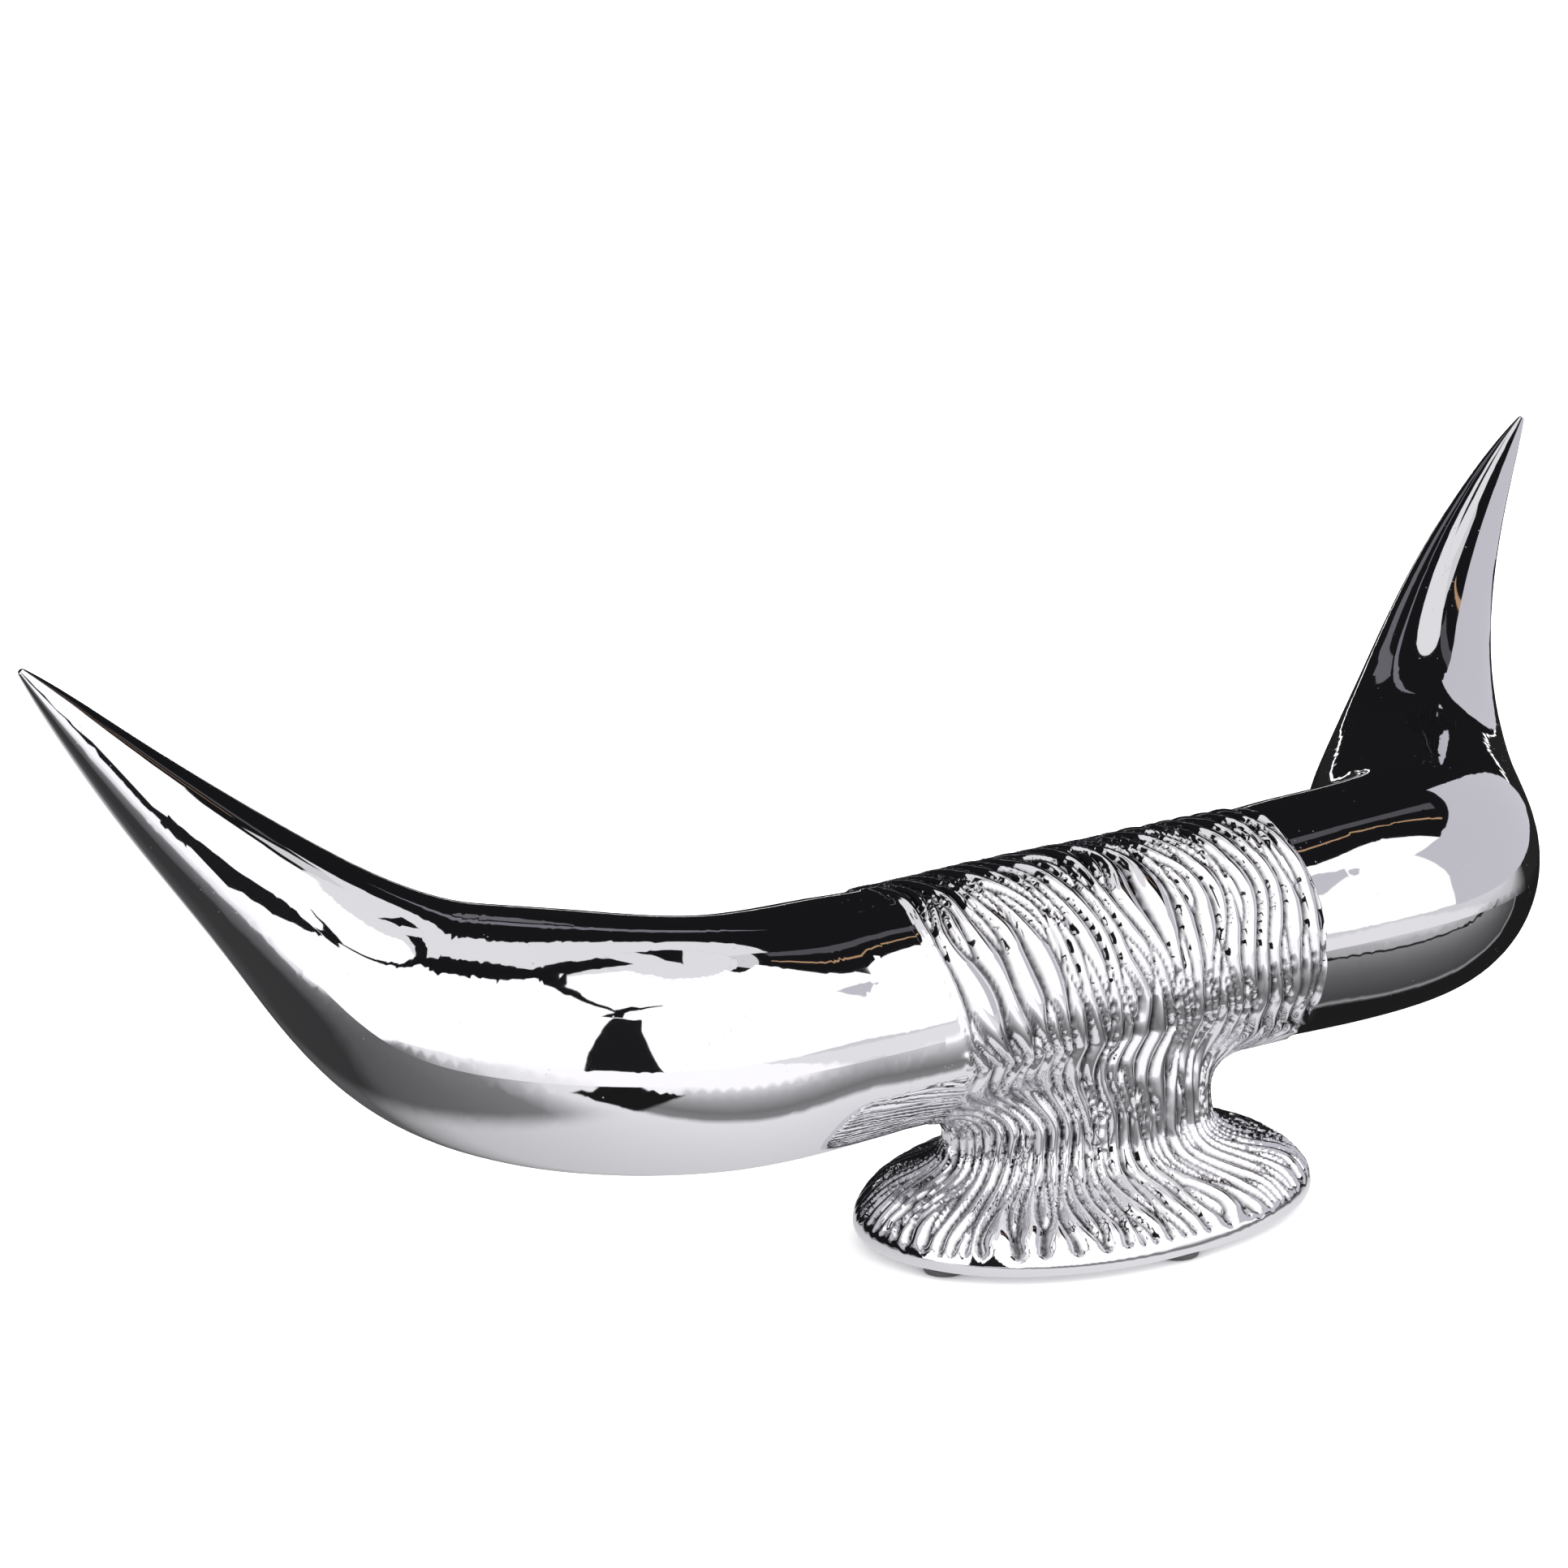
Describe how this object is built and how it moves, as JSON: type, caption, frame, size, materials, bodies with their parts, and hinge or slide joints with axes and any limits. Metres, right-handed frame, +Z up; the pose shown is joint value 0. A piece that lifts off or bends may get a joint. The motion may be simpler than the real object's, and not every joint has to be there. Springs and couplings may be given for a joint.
{
  "type": "horn sculpture",
  "caption": "Chromed table sculpture of a pair of cattle horns on a straight bar, held in a fur-carved saddle that stands on an oval foot.",
  "frame": {"origin": "on the resting surface, under the middle of the sculpture's overall box", "axes": "+X along the bar towards the right horn, +Y to the back, where the horns sweep, +Z up"},
  "size_m": [0.499, 0.1594, 0.1662],
  "materials": {
    "chrome": "mirror-polished chrome plate, fur carved and polished on the saddle",
    "aluminium": "turned, unplated",
    "zinc_steel": "zinc plated",
    "plate_paint": "black powder coat",
    "rubber": "matte"
  },
  "bodies": {
    "root": {"saddle_stand": "chrome", "left_horn": "chrome", "right_horn": "chrome", "left_horn_plug": "aluminium", "right_horn_plug": "aluminium", "horn_studs": "zinc_steel", "locating_pins": "zinc_steel", "flat_washers": "zinc_steel", "spring_washers": "zinc_steel", "stud_nuts": "zinc_steel", "base_plate": "plate_paint", "plate_screws": "zinc_steel", "bumpers": "rubber"}
  },
  "joints": []
}
